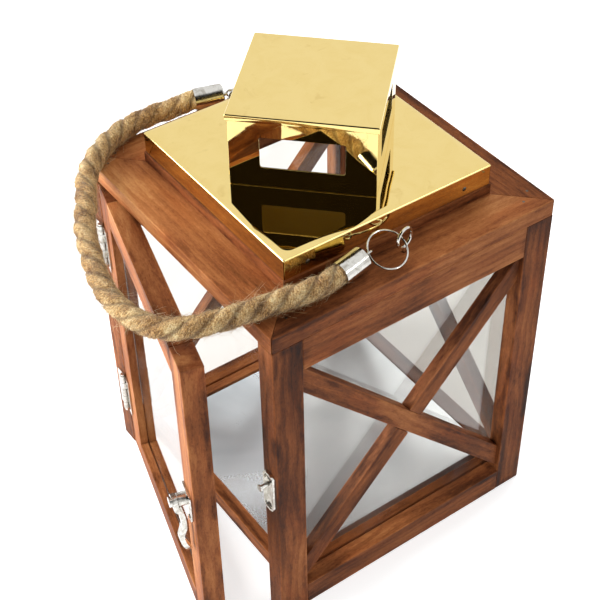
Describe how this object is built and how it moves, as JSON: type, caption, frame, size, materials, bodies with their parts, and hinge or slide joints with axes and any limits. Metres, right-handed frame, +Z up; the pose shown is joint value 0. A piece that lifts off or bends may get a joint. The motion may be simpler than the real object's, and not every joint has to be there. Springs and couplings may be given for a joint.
{
  "type": "hanging lantern",
  "caption": "Square wooden candle lantern with cross-braced glass sides, hinged glass door with swing latch, vented brass chimney roof and rope carry handle",
  "frame": {"origin": "centre of the top face of the sheet-metal candle floor, on the lantern's vertical centre line", "axes": "+Z up, door on the -Y side, door hinges on the -X side"},
  "size_m": [0.2091, 0.2581, 0.3143],
  "materials": {
    "stained_wood": "reddish-brown stained softwood with visible grain",
    "clear_glass": "clear sheet glass",
    "polished_brass": "mirror-polished gold-coloured sheet metal",
    "zinc_sheet": "dull zinc-coated sheet",
    "nickel": "bright nickel plating",
    "jute": "hairy three-strand jute rope"
  },
  "bodies": {
    "root": {"post_front_left": "stained_wood", "post_front_right": "stained_wood", "post_rear_left": "stained_wood", "post_rear_right": "stained_wood", "rail_top_right": "stained_wood", "rail_bottom_right": "stained_wood", "brace_over_right": "stained_wood", "brace_under_right": "stained_wood", "glass_right": "clear_glass", "rail_top_left": "stained_wood", "rail_bottom_left": "stained_wood", "brace_over_left": "stained_wood", "brace_under_left": "stained_wood", "glass_left": "clear_glass", "rail_top_rear": "stained_wood", "rail_bottom_rear": "stained_wood", "brace_over_rear": "stained_wood", "brace_under_rear": "stained_wood", "glass_rear": "clear_glass", "rail_top_front": "stained_wood", "rail_bottom_front": "stained_wood", "candle_floor": "zinc_sheet", "top_board_front": "stained_wood", "top_board_right": "stained_wood", "top_board_rear": "stained_wood", "top_board_left": "stained_wood", "plinth_front": "stained_wood", "plinth_right": "stained_wood", "plinth_rear": "stained_wood", "plinth_left": "stained_wood", "roof_plate": "polished_brass", "chimney_shell": "polished_brass", "chimney_lid": "polished_brass", "hinge_upper_frame_leaf": "nickel", "hinge_upper_pin": "nickel", "hinge_lower_frame_leaf": "nickel", "hinge_lower_pin": "nickel", "catch_plate": "nickel", "screw_eye_left": "nickel", "screw_eye_right": "nickel"},
    "door": {"door_stile_hinge": "stained_wood", "door_stile_latch": "stained_wood", "door_rail_top": "stained_wood", "door_rail_bottom": "stained_wood", "door_glass": "clear_glass", "hinge_upper_door_leaf": "nickel", "hinge_lower_door_leaf": "nickel", "latch_plate": "nickel", "latch_rivet": "nickel"},
    "latch": {"latch_lever": "nickel"},
    "handle": {"rope_handle": "jute", "ferrule_right": "nickel", "ferrule_left": "nickel"},
    "right_ring": {"ring_right": "nickel"},
    "left_ring": {"ring_left": "nickel"}
  },
  "joints": [
    {"name": "door_swing", "type": "hinge", "parent": "root", "child": "door", "pos_m": [-0.08625, -0.1022, 0.1], "axis": [0, 0, -1], "range_deg": [-15, 150]},
    {"name": "latch_turn", "type": "hinge", "parent": "door", "child": "latch", "pos_m": [0.06872, -0.143, 0.1], "axis": [-0.2588, -0.9659, 0], "range_deg": [-15, 140]},
    {"name": "handle_swing", "type": "hinge", "parent": "root", "child": "handle", "pos_m": [0, 0, 0.2358], "axis": [-1, 0, 0], "range_deg": [0, 110]},
    {"name": "ring_right_swing", "type": "hinge", "parent": "root", "child": "right_ring", "pos_m": [0.0845, 0, 0.2358], "axis": [-1, 0, 0], "range_deg": [0, 110]},
    {"name": "ring_left_swing", "type": "hinge", "parent": "root", "child": "left_ring", "pos_m": [-0.0845, 0, 0.2358], "axis": [1, 0, 0], "range_deg": [0, 13.2]}
  ],
  "couplings": [
    {"joint": "ring_right_swing", "follows": "handle_swing", "ratio": 1},
    {"joint": "ring_left_swing", "follows": "handle_swing", "ratio": 0.12}
  ]
}
